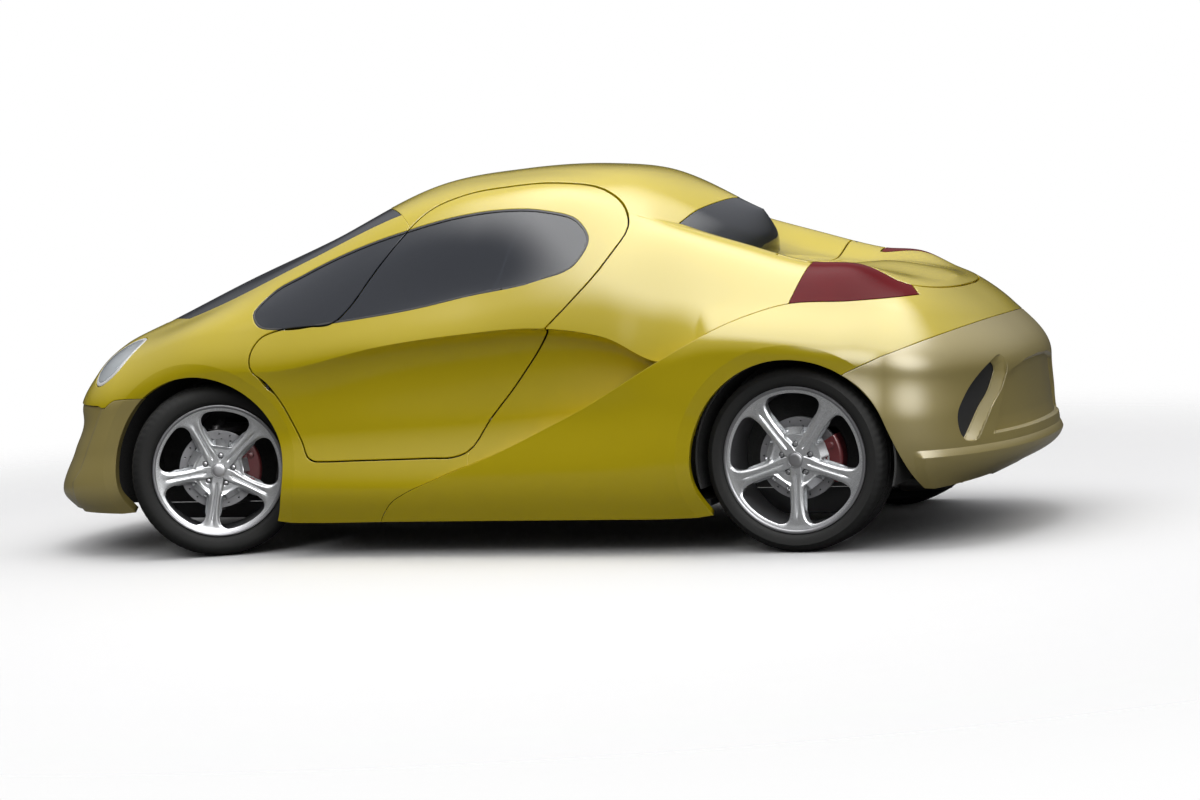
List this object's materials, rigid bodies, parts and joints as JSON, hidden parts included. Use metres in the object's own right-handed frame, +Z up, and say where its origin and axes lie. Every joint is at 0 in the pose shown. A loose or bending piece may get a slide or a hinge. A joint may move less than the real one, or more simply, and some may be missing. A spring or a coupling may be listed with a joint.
{
  "type": "two-door concept coupe",
  "caption": "Rounded two-door coupe with cab-forward one-bow roof, scooped sides, sunk wrap-around rear window, doors, bonnet and boot lid that open, and steered wheels.",
  "frame": {"origin": "on the ground under the middle of the bounding box", "axes": "+X rearward, +Y to the right of the car, +Z up"},
  "size_m": [4, 1.8342, 1.4302],
  "materials": {
    "body_paint": "gloss",
    "bumper_tan": "matte",
    "tinted_glass": "gloss",
    "lamp_clear": "gloss",
    "lamp_red": "gloss",
    "black_plastic": "matte",
    "steel": "brushed",
    "cast": "matte",
    "caliper_red": "gloss",
    "rubber": "matte",
    "alloy": "satin",
    "upholstery": "matte",
    "trim": "matte"
  },
  "bodies": {
    "car_body": {"underbody": "black_plastic", "front_wings": "body_paint", "roof": "body_paint", "quarter_panels": "body_paint", "rear_clip": "body_paint", "rear_deck": "body_paint", "front_bumper": "bumper_tan", "rear_bumper": "bumper_tan", "windscreen": "tinted_glass", "quarter_lights": "tinted_glass", "backlight": "tinted_glass", "headlamps": "lamp_clear", "tail_lamps": "lamp_red", "corner_vents": "black_plastic", "hinge_pins": "steel", "engine": "cast", "exhaust": "steel", "front_arms": "cast", "rear_axle": "cast", "rear_calipers": "caliper_red", "front_seats": "upholstery", "rear_bench": "upholstery", "dashboard": "black_plastic", "steering_wheel": "trim"},
    "door_left": {"door_left": "body_paint", "door_glass_left": "tinted_glass"},
    "door_right": {"door_right": "body_paint", "door_glass_right": "tinted_glass"},
    "bonnet": {"bonnet": "body_paint"},
    "boot_lid": {"boot_lid": "body_paint"},
    "steer_left": {"knuckle_left": "cast", "caliper_front_left": "caliper_red"},
    "steer_right": {"knuckle_right": "cast", "caliper_front_right": "caliper_red"},
    "wheel_front_left": {"tyre_front_left": "rubber", "rim_front_left": "alloy", "disc_front_left": "steel"},
    "wheel_front_right": {"tyre_front_right": "rubber", "rim_front_right": "alloy", "disc_front_right": "steel"},
    "wheel_rear_left": {"tyre_rear_left": "rubber", "rim_rear_left": "alloy", "disc_rear_left": "steel"},
    "wheel_rear_right": {"tyre_rear_right": "rubber", "rim_rear_right": "alloy", "disc_rear_right": "steel"}
  },
  "joints": [
    {"name": "door_left_hinge", "type": "hinge", "parent": "car_body", "child": "door_left", "pos_m": [-0.815, -0.812, 0.68], "axis": [0, 0, -1], "range_deg": [0, 65]},
    {"name": "door_right_hinge", "type": "hinge", "parent": "car_body", "child": "door_right", "pos_m": [-0.815, 0.812, 0.68], "axis": [0, 0, 1], "range_deg": [0, 65]},
    {"name": "bonnet_hinge", "type": "hinge", "parent": "car_body", "child": "bonnet", "pos_m": [-1.478, 0, 0.862], "axis": [0, 1, 0], "range_deg": [0, 60]},
    {"name": "boot_hinge", "type": "hinge", "parent": "car_body", "child": "boot_lid", "pos_m": [1.157, 0, 1.056], "axis": [0, -1, 0], "range_deg": [0, 65]},
    {"name": "steering_left", "type": "hinge", "parent": "car_body", "child": "steer_left", "pos_m": [-1.131, -0.65, 0.332], "axis": [0, 0, 1], "range_deg": [-58, 4]},
    {"name": "steering_right", "type": "hinge", "parent": "car_body", "child": "steer_right", "pos_m": [-1.131, 0.65, 0.332], "axis": [0, 0, 1], "range_deg": [-58, 4]},
    {"name": "wheel_front_left_spin", "type": "hinge", "parent": "steer_left", "child": "wheel_front_left", "pos_m": [-1.11692, -0.67649, 0.332], "axis": [-0.4695, 0.8829, 0], "continuous": true},
    {"name": "wheel_front_right_spin", "type": "hinge", "parent": "steer_right", "child": "wheel_front_right", "pos_m": [-1.14508, 0.67649, 0.332], "axis": [-0.4695, 0.8829, 0], "continuous": true},
    {"name": "wheel_rear_left_spin", "type": "hinge", "parent": "car_body", "child": "wheel_rear_left", "pos_m": [1.251, -0.68, 0.336], "axis": [0, 1, 0], "continuous": true},
    {"name": "wheel_rear_right_spin", "type": "hinge", "parent": "car_body", "child": "wheel_rear_right", "pos_m": [1.251, 0.68, 0.336], "axis": [0, 1, 0], "continuous": true}
  ],
  "couplings": [
    {"joint": "steering_right", "follows": "steering_left", "ratio": 1}
  ]
}
